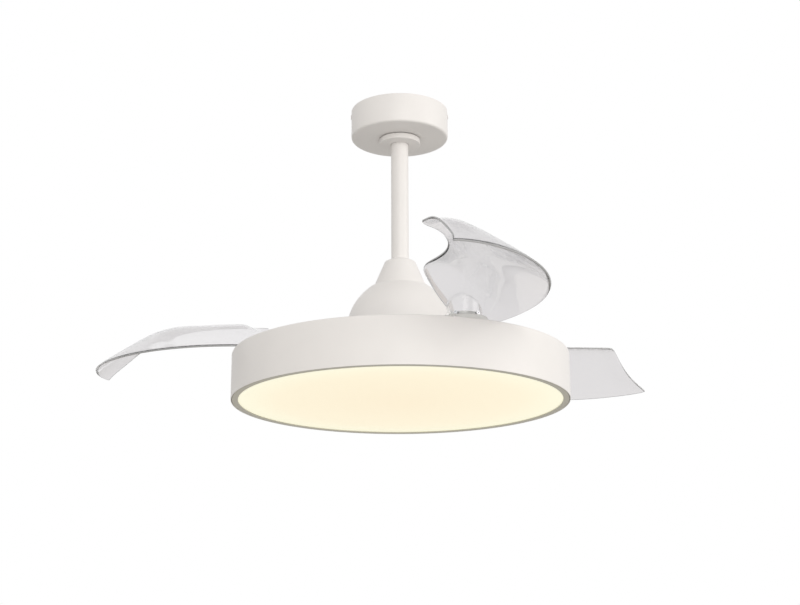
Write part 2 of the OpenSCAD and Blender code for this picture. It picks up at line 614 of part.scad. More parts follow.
// Gear sector with the plate that carries the blade; the plate's top stays clear of the skin.
module hub_piece() lift() difference() {
  union() {
    translate([pivot[0], pivot[1], hub_low]) {
      cylinder(r = blade_teeth - 1.25 * gear_m - 0.4, h = gear_t);
      linear_extrude(gear_t) teeth(blade_teeth, pivot_az + 180 + 180 / blade_teeth, -2, 12, 3);
    }
    intersection() {
      translate([pivot[0], pivot[1], hub_low])
        cylinder(r = root_r - root_wall_t - plate_fit, h = hub_top - hub_low);
      under_skin(3);
    }
  }
  translate([pivot[0], pivot[1], hub_low - 1]) cylinder(r = bush_r, h = 40);
  at_blade_screws() translate([0, 0, -9]) cylinder(r = blade_screw_r, h = 12, $fn = 32);
}

module bush_piece() lift() translate([pivot[0], pivot[1], 0])
  tube(bush_r, pin_r + run_gap, hub_low, hub_top);

module blade_screw_set() lift() at_blade_screws() screw(blade_screw_r, 8.5, 2.8, 1.8);

module blade_1() color(clear) blade_piece();
module blade_2() color(clear) rotate([0, 0, step_az]) blade_piece();
module blade_3() color(clear) rotate([0, 0, 2 * step_az]) blade_piece();
module blade_hub_1() color(white) hub_piece();
module blade_hub_2() color(white) rotate([0, 0, step_az]) hub_piece();
module blade_hub_3() color(white) rotate([0, 0, 2 * step_az]) hub_piece();
module blade_bush_1() color([0.7, 0.55, 0.3]) bush_piece();
module blade_bush_2() color([0.7, 0.55, 0.3]) rotate([0, 0, step_az]) bush_piece();
module blade_bush_3() color([0.7, 0.55, 0.3]) rotate([0, 0, 2 * step_az]) bush_piece();
module blade_screws_1() color(steel) blade_screw_set();
module blade_screws_2() color(steel) rotate([0, 0, step_az]) blade_screw_set();
module blade_screws_3() color(steel) rotate([0, 0, 2 * step_az]) blade_screw_set();

// ---- lamp cover ----

module diffuser() color([1, 0.97, 0.88]) lift() translate([0, 0, 1.6])
  cylinder(r = 241.2, h = 2.2, $fn = 180);

module diffuser_ring() color([0.80, 0.78, 0.73]) lift() {
  rotate_extrude($fn = 180) polygon([[248.2 - trim_w, 0.4], [248.2 - trim_w + 0.6, 0], [247.6, 0],
    [248.2, 0.6], [248.2, 1.6], [243, 1.6], [243, 20], [241.5, 20], [241.5, 1.6], [248.2 - trim_w, 1.6]]);
  around(4, 0, -latch_arc / 2) translate([0, 0, 12.3]) rotate_extrude(angle = latch_arc, $fn = 180)
    translate([242.5, 0]) square([4, 2.5]);
}

hanger_bracket();
ball_seat();
canopy();
canopy_screws();
terminal_block();
ground_screw();
hanger_ball();
ball_pin();
downrod();
coupling();
clevis_pin();
cotter_pins();
coupling_screws();
motor_shaft();
stator_core();
stator_coils();
bell();
bell_screws();
lamp_plate();
shaft_nut();
drum_shell();
drum_screws();
board_spacers();
led_board();
leds();
led_driver();
receiver();
supply_lead();
rod_collar();
collar_o_ring();
coupling_cover();
rotor_base();
rotor_cover();
rotor_screws();
magnet_ring();
bearings();
blade_carrier();
carrier_screws();
pivot_pins();
ring_guides();
stop_bumpers();
spring_pegs();
return_springs();
sync_ring();
blade_1();
blade_hub_1();
blade_bush_1();
blade_screws_1();
blade_2();
blade_hub_2();
blade_bush_2();
blade_screws_2();
blade_3();
blade_hub_3();
blade_bush_3();
blade_screws_3();
diffuser();
diffuser_ring();
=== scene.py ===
"""Retractable blade ceiling fan with a drum lamp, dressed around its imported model."""
import json
from math import atan2, cos, degrees, exp, pi, radians, sin, sqrt

import bmesh
import bpy
from bpy.props import FloatProperty, FloatVectorProperty, IntProperty, PointerProperty
from mathutils import Matrix, Vector


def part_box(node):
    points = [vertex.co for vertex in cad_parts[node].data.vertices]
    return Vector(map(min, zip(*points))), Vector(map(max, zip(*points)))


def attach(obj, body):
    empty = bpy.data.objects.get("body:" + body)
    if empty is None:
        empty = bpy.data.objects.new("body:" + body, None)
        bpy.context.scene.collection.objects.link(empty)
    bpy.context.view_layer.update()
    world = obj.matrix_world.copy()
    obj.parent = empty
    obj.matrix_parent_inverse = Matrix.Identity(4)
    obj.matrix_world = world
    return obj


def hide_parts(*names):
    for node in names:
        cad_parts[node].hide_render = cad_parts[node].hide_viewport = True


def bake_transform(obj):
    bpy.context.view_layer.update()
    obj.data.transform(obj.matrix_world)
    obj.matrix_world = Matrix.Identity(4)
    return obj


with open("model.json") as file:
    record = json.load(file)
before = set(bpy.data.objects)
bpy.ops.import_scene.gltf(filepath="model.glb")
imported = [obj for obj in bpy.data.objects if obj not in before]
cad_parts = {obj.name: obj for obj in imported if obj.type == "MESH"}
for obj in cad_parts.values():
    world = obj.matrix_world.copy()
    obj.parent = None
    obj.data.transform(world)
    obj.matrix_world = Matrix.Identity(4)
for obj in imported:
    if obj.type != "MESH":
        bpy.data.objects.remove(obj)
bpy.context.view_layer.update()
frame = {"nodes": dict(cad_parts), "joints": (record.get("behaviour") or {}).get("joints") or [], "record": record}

bl_info = {
    "name": "Retractable Blade Ceiling Fan",
    "version": (1, 0, 0),
    "blender": (4, 5, 0),
    "location": "View3D > Sidebar > Fan",
    "description": "Builds a ceiling fan whose clear blades fold away over its drum lamp",
    "category": "Add Mesh",
}

MM = 0.001
TURN = 2 * pi
LAMP_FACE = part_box("diffuser_ring")[0].z
JOINTS = {joint["name"]: joint for joint in frame["joints"]}


def height(h):
    """Z in metres of a height in millimetres above the lamp face."""
    return LAMP_FACE + h * MM


def span(node):
    """Radius, low height and top height of a round CAD node, in millimetres."""
    low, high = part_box(node)
    return high.x / MM, (low.z - LAMP_FACE) / MM, (high.z - LAMP_FACE) / MM


def linear(hex_code):
    """Linear colour of an sRGB hex value."""
    channels = [int(hex_code[i:i + 2], 16) / 255 for i in (0, 2, 4)]
    return [c / 12.92 if c <= 0.04045 else ((c + 0.055) / 1.055) ** 2.4 for c in channels]


# ---------------------------------------------------------------- settings


class FanSizes(bpy.types.PropertyGroup):
    """Sizes of the fan's round pieces and blades."""

    sheet: FloatProperty(
        name="Sheet", description="Wall of the canopy, bell and drum", default=1.0 * MM, unit="LENGTH")
    canopy_edge: FloatProperty(
        name="Canopy edge", description="Radius of the canopy's lower edge", default=3.6 * MM,
        unit="LENGTH")
    drum_edge: FloatProperty(
        name="Drum edge", description="Radius of the drum's upper edge", default=2.0 * MM, unit="LENGTH")
    trim_width: FloatProperty(
        name="Trim width", description="Width of the ring around the diffuser", default=9.0 * MM,
        unit="LENGTH")
    blade_wall: FloatProperty(
        name="Blade wall", description="Thickness of a clear blade", default=2.5 * MM, unit="LENGTH")
    round_steps: IntProperty(
        name="Round steps", description="Steps around a spun piece", default=192, min=48, max=360)


class FanColours(bpy.types.PropertyGroup):
    """Colours of the fan's visible finishes."""

    paint: FloatVectorProperty(
        name="Paint", description="Powder coat of the metal pieces", subtype="COLOR",
        default=linear("F4F1EF"))
    trim: FloatVectorProperty(
        name="Trim", description="Moulded ring around the diffuser", subtype="COLOR",
        default=linear("CFCCC0"))
    blade: FloatVectorProperty(
        name="Blade", description="Body of the clear blades", subtype="COLOR", default=linear("E4E2E3"))
    # Painted shade: a half-opaque copy of the blade's clear finish for its cut edges, standing in for the grey
    # lines the clear edges show.
    shaded_blade_rim: FloatVectorProperty(
        name="Blade rim", description="Cut edge of the clear blades", subtype="COLOR",
        default=linear("E8E8EA"))
    opal: FloatVectorProperty(
        name="Opal", description="Lamp's diffuser, unlit", subtype="COLOR", default=linear("F2ECDC"))
    glow: FloatVectorProperty(
        name="Glow", description="Light that leaves the diffuser", subtype="COLOR",
        default=linear("F8ECCB"))


class FanStudio(bpy.types.PropertyGroup):
    """Light and camera of the studio."""

    lamp_power: FloatProperty(
        name="Lamp power", description="Power of each broad lamp", default=31.0, subtype="POWER")
    ambient: FloatProperty(
        name="Ambient", description="Strength of the light from all around", default=0.57)
    floor_drop: FloatProperty(
        name="Floor drop", description="Distance from the ceiling to the floor", default=2.7, unit="LENGTH")
    lens: FloatProperty(
        name="Lens", description="Focal length in millimetres on a 36 mm sensor", default=64.31)


# ---------------------------------------------------------------- finishes


def add_node(tree, kind, settings=None, links=None):
    """Adds a node. settings fill its sockets and properties, links feed its sockets."""
    node = tree.nodes.new(kind)
    for name, value in (settings or {}).items():
        if isinstance(name, int) or name in node.inputs:
            node.inputs[name].default_value = value
        else:
            setattr(node, name, value)
    for name, socket in (links or {}).items():
        tree.links.new(socket, node.inputs[name])
    return node


def new_finish(name, colour, roughness, **sockets):
    """An empty material with its Principled surface, and the object coordinates to lay a pattern on."""
    material = bpy.data.materials.new(name)
    material.use_nodes = True
    tree = material.node_tree
    tree.nodes.clear()
    settings = {"Base Color": (*colour, 1), "Roughness": roughness}
    settings.update({key.replace("_", " "): value for key, value in sockets.items()})
    shader = add_node(tree, "ShaderNodeBsdfPrincipled", settings)
    add_node(tree, "ShaderNodeOutputMaterial", links={"Surface": shader.outputs[0]})
    place = add_node(tree, "ShaderNodeTexCoord").outputs["Object"]
    return material, tree, shader, place


def grain(tree, shader, place, size, depth, roughness=None, stretch=(1, 1, 1), detail=3):
    """Fine relief of a size and depth in millimetres, and its spread of roughness."""
    laid = add_node(tree, "ShaderNodeMapping", {"Scale": stretch}, {"Vector": place})
    noise = add_node(tree, "ShaderNodeTexNoise", {"Scale": 1 / (size * MM), "Detail": detail},
                     {"Vector": laid.outputs[0]})
    bump = add_node(tree, "ShaderNodeBump", {"Strength": 0.6, "Distance": depth * MM},
                    {"Height": noise.outputs[0]})
    tree.links.new(bump.outputs[0], shader.inputs["Normal"])
    if roughness:
        spread = add_node(tree, "ShaderNodeMapRange", {"To Min": roughness[0], "To Max": roughness[1]},
                          {"Value": noise.outputs[0]})
        tree.links.new(spread.outputs[0], shader.inputs["Roughness"])
    return noise


def clouding(tree, shader, place, size, dark, light):
    """Slow drift of the base colour over patches of a size in millimetres."""
    noise = add_node(tree, "ShaderNodeTexNoise", {"Scale": 1 / (size * MM), "Detail": 2}, {"Vector": place})
    ramp = add_node(tree, "ShaderNodeValToRGB", links={"Fac": noise.outputs[0]})
    ramp.color_ramp.elements[0].position = 0.3
    ramp.color_ramp.elements[0].color = (*dark, 1)
    ramp.color_ramp.elements[1].position = 0.7
    ramp.color_ramp.elements[1].color = (*light, 1)
    tree.links.new(ramp.outputs[0], shader.inputs["Base Color"])


def toned(colour, factor):
    """A linear colour made lighter or darker."""
    return [channel * factor for channel in colour]


def powder_coat():
    # Baked polyester powder: warm white, satin, with the faint orange peel of the melt.
    paint = bpy.context.scene.fan_colours.paint
    material, tree, shader, place = new_finish("powder_coated_steel", paint, 0.44)
    grain(tree, shader, place, 1.6, 0.012, (0.40, 0.50))
    clouding(tree, shader, place, 60, toned(paint, 0.975), paint)
    return material


def satin_abs():
    # Moulded ABS: the same white, a little softer, with the fine spark-eroded grain of its mould.
    paint = bpy.context.scene.fan_colours.paint
    material, tree, shader, place = new_finish("moulded_abs", toned(paint, 0.98), 0.48)
    grain(tree, shader, place, 0.8, 0.01, (0.44, 0.54), detail=5)
    return material


def plated_steel(name, code, roughness, spangle):
    """Plated or passivated sheet steel with a faint spangle of a size in millimetres."""
    colour = linear(code)
    material, tree, shader, place = new_finish(name, colour, roughness, Metallic=1.0)
    grain(tree, shader, place, 0.7, 0.006, (roughness - 0.06, roughness + 0.08))
    clouding(tree, shader, place, spangle, toned(colour, 0.88), colour)
    return material


def zinc_steel():
    # Clear-passivated zinc on stamped sheet: cool grey, half matt, slightly mottled.
    return plated_steel("zinc_plated_steel", "C4C7C9", 0.34, 7)


def green_zinc():
    # Green-passivated earthing screw.
    return plated_steel("green_passivated_steel", "5E9A66", 0.36, 4)


def dark_steel():
    # Black oxide on hardened screws: dark, low gloss.
    return plated_steel("black_oxide_steel", "3A3A3D", 0.4, 5)


def bright_steel():
    # Turned and ground steel: bright, with fine rings left by the tool across its length.
    material, tree, shader, place = new_finish("turned_steel", linear("D2D3D5"), 0.24, Metallic=1.0)
    grain(tree, shader, place, 1.2, 0.004, (0.18, 0.3), stretch=(1, 1, 6))
    return material


def spring_steel():
    # Drawn music wire: bright grey with fine draw marks.
    material, tree, shader, place = new_finish("music_wire", linear("B4B6BA"), 0.28, Metallic=1.0)
    grain(tree, shader, place, 0.4, 0.004, (0.22, 0.36))
    return material


def band_scale(pitch):
    """Scale that gives a wave texture a band each so many millimetres; it has one each 2 pi / 20 units."""
    return TURN / 20 / (pitch * MM)


def lamination():
    # Punched electrical sheets 0.5 mm thick, stacked along the axis; each edge shows as a fine line.
    colour = linear("84868C")
    material, tree, shader, place = new_finish("electrical_steel_stack", colour, 0.45, Metallic=1.0)
    stripes = add_node(tree, "ShaderNodeTexWave", {"bands_direction": "Z", "Scale": band_scale(0.5)},
                       {"Vector": place})
    bump = add_node(tree, "ShaderNodeBump", {"Strength": 0.5, "Distance": 0.05 * MM},
                    {"Height": stripes.outputs["Fac"]})
    tree.links.new(bump.outputs[0], shader.inputs["Normal"])
    clouding(tree, shader, place, 12, toned(colour, 0.85), colour)
    return material


def copper_enamel():
    # Enamelled copper wire 0.8 mm thick, wound turn beside turn around each tooth.
    colour = linear("C8763A")
    material, tree, shader, place = new_finish("enamelled_copper", colour, 0.25, Metallic=0.85)
    turns = add_node(tree, "ShaderNodeTexWave",
                     {"wave_type": "RINGS", "rings_direction": "Z", "Scale": band_scale(0.8)},
                     {"Vector": place})
    bump = add_node(tree, "ShaderNodeBump", {"Strength": 0.8, "Distance": 0.3 * MM},
                    {"Height": turns.outputs["Fac"]})
    tree.links.new(bump.outputs[0], shader.inputs["Normal"])
    clouding(tree, shader, place, 5, toned(colour, 0.7), colour)
    return material


def sintered_bronze():
    # Oil-filled sintered bush: brown-gold with tiny dark pores.
    colour = linear("B8935A")
    material, tree, shader, place = new_finish("sintered_bronze", colour, 0.42, Metallic=0.9)
    grain(tree, shader, place, 0.35, 0.02, (0.34, 0.52), detail=6)
    clouding(tree, shader, place, 1.2, toned(colour, 0.7), colour)
    return material


def cast_aluminium():
    # Pressure-cast aluminium: pale grey skin with a fine cast grain.
    colour = linear("C2C5C8")
    material, tree, shader, place = new_finish("cast_aluminium", colour, 0.5, Metallic=1.0)
    grain(tree, shader, place, 0.9, 0.03, (0.42, 0.58), detail=5)
    clouding(tree, shader, place, 20, toned(colour, 0.9), colour)
    return material


def board_white():
    # White solder mask on an aluminium board: smooth, slightly glossy, with a soft weave of flow.
    colour = linear("F0F0EC")
    material, tree, shader, place = new_finish("white_solder_mask", colour, 0.32)
    grain(tree, shader, place, 2.5, 0.008, (0.26, 0.38))
    clouding(tree, shader, place, 30, toned(colour, 0.95), colour)
    return material


def ferrite():
    # Pressed ferrite magnet: charcoal ceramic with fine grey specks.
    colour = linear("3C3C3F")
    material, tree, shader, place = new_finish("pressed_ferrite", colour, 0.62)
    grain(tree, shader, place, 0.6, 0.02, (0.55, 0.7), detail=6)
    clouding(tree, shader, place, 1.5, toned(colour, 0.6), toned(colour, 1.5))
    return material


def polymer(name, code, roughness, grain_mm, tone=0.94):
    """Moulded plastic or rubber: a flat colour with its mould grain and a slow drift of tone."""
    colour = linear(code)
    material, tree, shader, place = new_finish(name, colour, roughness)
    grain(tree, shader, place, grain_mm, 0.012, (roughness - 0.05, roughness + 0.06), detail=4)
    clouding(tree, shader, place, 18, toned(colour, tone), colour)
    return material


def black_rubber():
    # Moulded nitrile rubber: near black, matt.
    return polymer("nitrile_rubber", "2A2A2B", 0.72, 0.6, 0.8)


def cable_grey():
    # PVC cable jacket: mid grey, softly glossy.
    return polymer("pvc_jacket", "C4C4C1", 0.42, 1.4)


def black_nylon():
    # Glass-filled nylon: black with a dry, slightly fibrous skin.
    return polymer("glass_filled_nylon", "343436", 0.55, 0.7, 0.8)


def ivory_nylon():
    # Unpigmented nylon: ivory, waxy.
    return polymer("natural_nylon", "E9E5D6", 0.4, 1.2)


def ring_nylon():
    # Acetal gear ring: cool off-white, slippery gloss.
    return polymer("natural_acetal", "E8E8E2", 0.34, 1.5)


def hub_nylon():
    # White acetal hub: as the ring, pigmented white.
    return polymer("white_acetal", "EFEFEC", 0.34, 1.5)


def trim_grey():
    # Moulded polycarbonate trim: warm grey, satin, with a fine mould grain.
    colour = bpy.context.scene.fan_colours.trim
    material, tree, shader, place = new_finish("moulded_trim", colour, 0.46)
    grain(tree, shader, place, 0.9, 0.01, (0.42, 0.52), detail=4)
    clouding(tree, shader, place, 40, toned(colour, 0.97), colour)
    return material


def led_phosphor():
    # Yellow phosphor over each diode: matt gel that glows warm white.
    colour = linear("FFE39A")
    material, tree, shader, place = new_finish(
        "led_phosphor", colour, 0.5, Emission_Color=(*linear("FFE9B8"), 1), Emission_Strength=1.0)
    grain(tree, shader, place, 0.5, 0.01, (0.45, 0.6))
    return material


def clear_blade():
    # Injection-moulded polycarbonate: clear with a faint smoke, glossy, with slow flow ripples.
    tint = bpy.context.scene.fan_colours.blade
    material, tree, shader, place = new_finish(
        "clear_polycarbonate", tint, 0.03, IOR=1.585, Transmission_Weight=1.0)
    ripples = grain(tree, shader, place, 38, 0.02, (0.02, 0.05), detail=1)
    ripples.inputs["Roughness"].default_value = 0.4
    return material


def shaded_blade_rim():
    # Edge of the polycarbonate, with painted shade: a half-opaque copy of the clear finish, so that the cut edges
    # read as smoke-grey lines.
    tint = bpy.context.scene.fan_colours.shaded_blade_rim
    material, tree, shader, place = new_finish(
        "polycarbonate_edge_painted_shade", tint, 0.1, IOR=1.585, Transmission_Weight=0.45)
    grain(tree, shader, place, 1.5, 0.01, (0.06, 0.14))
    return material


def lit_blade_root():
    # Moulded root of the polycarbonate, with painted light: a paler copy of the clear finish with its refraction
    # set low, so that the root nearly vanishes against the skin rather than showing the dark refraction a true
    # copy gives, and only the gloss of its flow lines shows where it turns away.
    material, tree, shader, place = new_finish(
        "polycarbonate_root_painted_light", linear("FCFCFC"), 0.06, IOR=1.12, Transmission_Weight=1.0, Coat_Weight=1.0,
        Coat_Roughness=0.12, Coat_IOR=1.5)
    grain(tree, shader, place, 6, 0.02, (0.04, 0.1))
    return material


def opal_acrylic():
    # Opal acrylic sheet lit from behind: warm white, a little paler beside its rim.
    colours = bpy.context.scene.fan_colours
    middle, rim = linear("F5E3C0"), linear("F9FADD")
    material, tree, shader, place = new_finish(
        "opal_acrylic", colours.opal, 0.42, Emission_Color=(*colours.glow, 1), Emission_Strength=0.5)
    radius = span("diffuser")[0] * MM
    flat = add_node(tree, "ShaderNodeVectorMath", {"operation": "MULTIPLY", 1: (1 / radius, 1 / radius, 0)},
                    {0: place})
    reach = add_node(tree, "ShaderNodeVectorMath", {"operation": "LENGTH"}, {0: flat.outputs[0]})
    ramp = add_node(tree, "ShaderNodeValToRGB", links={"Fac": reach.outputs["Value"]})
    ramp.color_ramp.elements[0].position = 0.1
    ramp.color_ramp.elements[0].color = (*middle, 1)
    ramp.color_ramp.elements[1].position = 0.98
    ramp.color_ramp.elements[1].color = (*rim, 1)
    ramp.color_ramp.elements.new(0.75).color = (*colours.glow, 1)
    tree.links.new(ramp.outputs[0], shader.inputs["Emission Color"])
    grain(tree, shader, place, 3, 0.01, (0.38, 0.48))
    return material


FINISHES = {
    "white_paint": powder_coat, "white_plastic": satin_abs, "zinc_steel": zinc_steel,
    "bright_steel": bright_steel, "dark_steel": dark_steel, "green_zinc": green_zinc,
    "lamination": lamination, "spring_steel": spring_steel, "copper_enamel": copper_enamel,
    "sintered_bronze": sintered_bronze, "cast_aluminium": cast_aluminium, "board_white": board_white,
    "ferrite": ferrite, "black_rubber": black_rubber, "cable_grey": cable_grey,
    "black_nylon": black_nylon, "ivory_nylon": ivory_nylon, "ring_nylon": ring_nylon,
    "hub_nylon": hub_nylon, "led_phosphor": led_phosphor, "clear_blade": clear_blade,
    "opal_acrylic": opal_acrylic, "trim_grey": trim_grey,
}
made_finishes = {}


def finish(slot):
    """The material of a record slot, made on first use."""
    if slot not in made_finishes:
        made_finishes[slot] = FINISHES[slot]()
    return made_finishes[slot]


# ---------------------------------------------------------------- shaping

CORNER_SEGMENTS, DRILL_STEPS = 6, 24
WELD = 0.001           # distance within which spun points are one, in millimetres


def edges_of(verts):
    """Edges at some vertices, always in the same order."""
    return list(dict.fromkeys(edge for v in verts for edge in v.link_edges))


def spin_section(bm, section, rounds=None, centre=(0, 0), steps=None, closed=True, start=0.0, angle=TURN):
    """Spins a section of (radius, height) points in millimetres about an upright axis.

    rounds gives corner radii in millimetres by index, and centre is the axis in metres.
    """
    before = set(bm.verts)
    verts = [bm.verts.new((r * MM, 0, height(h))) for r, h in section]
    for pair in zip(verts, verts[1:] + verts[:1] if closed else verts[1:]):
        bm.edges.new(pair)
    for index, radius in (rounds or {}).items():
        bmesh.ops.bevel(bm, geom=[verts[index]], offset=radius * MM, offset_type="OFFSET",
                        affect="VERTICES", segments=CORNER_SEGMENTS, profile=0.5, material=-1,
                        clamp_overlap=True)
    verts = [v for v in bm.verts if v not in before]
    edges = edges_of(verts)
    bmesh.ops.rotate(bm, cent=(0, 0, 0), matrix=Matrix.Rotation(start, 3, "Z"), verts=verts)
    geometry = verts + edges
    if angle < TURN:
        geometry.append(bmesh.ops.contextual_create(bm, geom=edges)["faces"][0])
    bmesh.ops.spin(bm, geom=geometry, axis=(0, 0, 1), cent=(0, 0, 0), angle=angle,
                   steps=steps or bpy.context.scene.fan_sizes.round_steps, use_merge=angle >= TURN)
    made = [v for v in bm.verts if v not in before]
    bmesh.ops.remove_doubles(bm, verts=made, dist=WELD * MM)
    made = [v for v in bm.verts if v not in before]
    bmesh.ops.translate(bm, verts=made, vec=(centre[0], centre[1], 0))


def cylinder(bm, radius, length, segments):
    """The vertices of a closed cylinder along Z about the origin, sized in millimetres."""
    return bmesh.ops.create_cone(bm, cap_ends=True, segments=segments, radius1=radius * MM,
                                 radius2=radius * MM, depth=length * MM)["verts"]


def to_mesh(bm, name):
    """Turns a finished bmesh into a mesh with its faces outwards."""
    bmesh.ops.recalc_face_normals(bm, faces=bm.faces)
    mesh = bpy.data.meshes.new(name)
    bm.to_mesh(mesh)
    bm.free()
    return mesh


def helper(mesh):
    """A passing object that a modifier works on or with."""
    obj = bpy.data.objects.new(mesh.name, mesh)
    bpy.context.scene.collection.objects.link(obj)
    return obj


def settled(obj, *helpers):
    """The mesh that an object's modifiers give; the object and its helpers go."""
    graph = bpy.context.evaluated_depsgraph_get()
    mesh = bpy.data.meshes.new_from_object(obj.evaluated_get(graph), depsgraph=graph)
    for passing in (obj, *helpers):
        bpy.data.objects.remove(passing)
    return mesh


def cut(obj, tool):
    """Takes another object away by an exact Boolean."""
    change = obj.modifiers.new("Cut", "BOOLEAN")
    change.solver = "EXACT"
    change.operation = "DIFFERENCE"
    change.object = tool


def add_piece(mesh, name, body, slot, node, crease=35):
    """Puts a finished mesh on its body, in the place of the CAD node it stands for."""
    mesh.name = name
    mesh.shade_smooth()
    mesh.set_sharp_from_angle(angle=radians(crease))
    if not mesh.materials:
        mesh.materials.append(finish(slot))
    obj = bpy.data.objects.new(name, mesh)
    bpy.context.scene.collection.objects.link(obj)
    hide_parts(node)
    if body:
        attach(obj, body)
    return obj


def joined(*meshes):
    """One mesh of several closed shells; the first one's materials stay."""
    bm = bmesh.new()
    for mesh in meshes:
        bm.from_mesh(mesh)
    bm.to_mesh(meshes[0])
    bm.free()
    for mesh in meshes[1:]:
        bpy.data.meshes.remove(mesh)
    return meshes[0]


def drill(mesh, holes, low, high):
    """Drills upright holes of (x, y, radius), in millimetres, through a mesh."""
    drills = bmesh.new()
    for x, y, radius in holes:
        spin_section(drills, [(0, low), (radius, low), (radius, high), (0, high)],
                     centre=(x * MM, y * MM), steps=DRILL_STEPS, closed=False)
    blank = helper(mesh)
    tool = helper(to_mesh(drills, "drills"))
    cut(blank, tool)
    return settled(blank, tool)


def ring_of(count, radius, first=0.0):
    """(x, y) of points around the axis, the first at an angle in degrees."""
    angles = [radians(first + 360 * i / count) for i in range(count)]
    return [(radius * cos(a), radius * sin(a)) for a in angles]


# ---------------------------------------------------------------- pieces

SOFT = 0.3             # usual radius of a small edge
ROD_FIT = 0.4          # collar's bore over the rod, on the radius
RIVET_RING = 180.0     # rivets that hold the circuit board
LATCH_ARC = radians(11)
WIDE_STEPS = 256       # steps around the drum and the lamp cover
ROD_STEPS = 96


def latch_blocks(bm, inner, outer, low, high):
    """Four bayonet blocks around the drum's wall or the lamp cover's rim."""
    for i in range(4):
        spin_section(bm, [(inner, low), (outer, low), (outer, high), (inner, high)], steps=8,
                     start=TURN * i / 4 - LATCH_ARC / 2, angle=LATCH_ARC)


class FAN_OT_canopy(bpy.types.Operator):
    """Spins the canopy that hides the hanger bracket"""

    bl_idname = "fan.canopy"
    bl_label = "Canopy"

    def execute(self, context):
        sizes = context.scene.fan_sizes
        radius, low, top = span("canopy")
        wall, edge, hole = sizes.sheet / MM, sizes.canopy_edge / MM, 28
        bm = bmesh.new()
        spin_section(bm, [(hole, low), (radius, low), (radius, top), (radius - wall, top),
                          (radius - wall, low + wall), (hole, low + wall)],
                     {1: edge, 4: edge - wall, 2: SOFT, 3: SOFT, 0: SOFT, 5: SOFT})
        add_piece(to_mesh(bm, "canopy"), "canopy_dish", "ceiling_mount", "white_paint", "canopy",
                  crease=50)
        return {"FINISHED"}


class FAN_OT_collar(bpy.types.Operator):
    """Spins the trim collar that covers the canopy's hole"""

    bl_idname = "fan.collar"
    bl_label = "Trim collar"

    def execute(self, context):
        radius, low, top = span("rod_collar")
        bore = span("downrod")[0] + ROD_FIT
        lip, hollow, boss = 1.5, 4.0, 19.0
        groove_low, groove_top, groove = low + 2.8, low + 5.2, bore + 1.7
        bm = bmesh.new()
        spin_section(bm, [(bore, low), (radius, low), (radius, top), (radius - lip, top),
                          (radius - lip, low + hollow), (boss, low + hollow), (boss, top), (bore, top),
                          (bore, groove_top), (groove, groove_top), (groove, groove_low),
                          (bore, groove_low)],
                     {0: 0.8, 1: 1.2, 2: 0.5, 3: 0.5, 6: 0.4})
        add_piece(to_mesh(bm, "collar"), "collar_cup", "trim_collar", "white_plastic", "rod_collar",
                  crease=50)
        return {"FINISHED"}


class FAN_OT_rod(bpy.types.Operator):
    """Spins the down rod"""

    bl_idname = "fan.rod"
    bl_label = "Down rod"

    def execute(self, context):
        radius, low, top = span("downrod")
        wall, edge = 2, 0.5
        bm = bmesh.new()
        spin_section(bm, [(radius - wall, low), (radius, low), (radius, top), (radius - wall, top)],
                     {0: SOFT, 1: edge, 2: edge, 3: SOFT}, steps=ROD_STEPS)
        add_piece(to_mesh(bm, "rod"), "rod_tube", "pendant", "white_paint", "downrod")
        return {"FINISHED"}


class FAN_OT_coupling_cover(bpy.types.Operator):
    """Spins the cone that covers the coupling"""

    bl_idname = "fan.coupling_cover"
    bl_label = "Coupling cover"

    def execute(self, context):
        wall = context.scene.fan_sizes.sheet / MM
        radius, low, top = span("coupling_cover")
        fit, shoulder, drop = 0.6, 23.4, 4
        neck = span("downrod")[0] + fit
        bm = bmesh.new()
        spin_section(bm, [(neck, top), (shoulder, top - drop), (radius, low), (radius - wall, low),
                          (shoulder - wall * 1.1, top - drop - wall / 2), (neck, top - wall)],
                     {0: SOFT, 1: 1.5, 2: SOFT, 3: SOFT, 4: 0.8})
        add_piece(to_mesh(bm, "cone"), "cover_cone", "cover", "white_paint", "coupling_cover",
                  crease=50)
        return {"FINISHED"}


class FAN_OT_bell(bpy.types.Operator):
    """Spins the bell over the motor: a dome, a flat shoulder and a raised middle"""

    bl_idname = "fan.bell"
    bl_label = "Bell"

    def execute(self, context):
        wall = context.scene.fan_sizes.sheet / MM
        radius, low, top = span("bell")
        shoulder, shoulder_h, neck, bore = 45.7, top - 6.6, 35, 16
        fullness, lean, steps = 3.1, 0.08, 40

        def dome(u, inward):
            outer, inner = radius - inward, shoulder - 0.6 * inward
            r = inner + (outer - inner) * (1 - lean * u - (1 - lean) * u ** fullness)
            return r, low + (shoulder_h - inward - low) * u

        ups = [sin(pi / 2 * i / steps) for i in range(steps + 1)]
        section = [(bore, top), (neck, top), (neck, shoulder_h)] + [dome(u, 0) for u in reversed(ups)]
        section += [dome(u, wall) for u in ups]
        section += [(neck - wall, shoulder_h - wall), (neck - wall, top - wall), (bore, top - wall)]
        rim = 3 + steps
        bm = bmesh.new()
        spin_section(bm, section, {1: 0.8, 2: 0.4, 3: 0.25, rim: SOFT, rim + 1: SOFT})
        add_piece(to_mesh(bm, "bell"), "bell_dome", "pendant", "white_paint", "bell", crease=40)
        return {"FINISHED"}


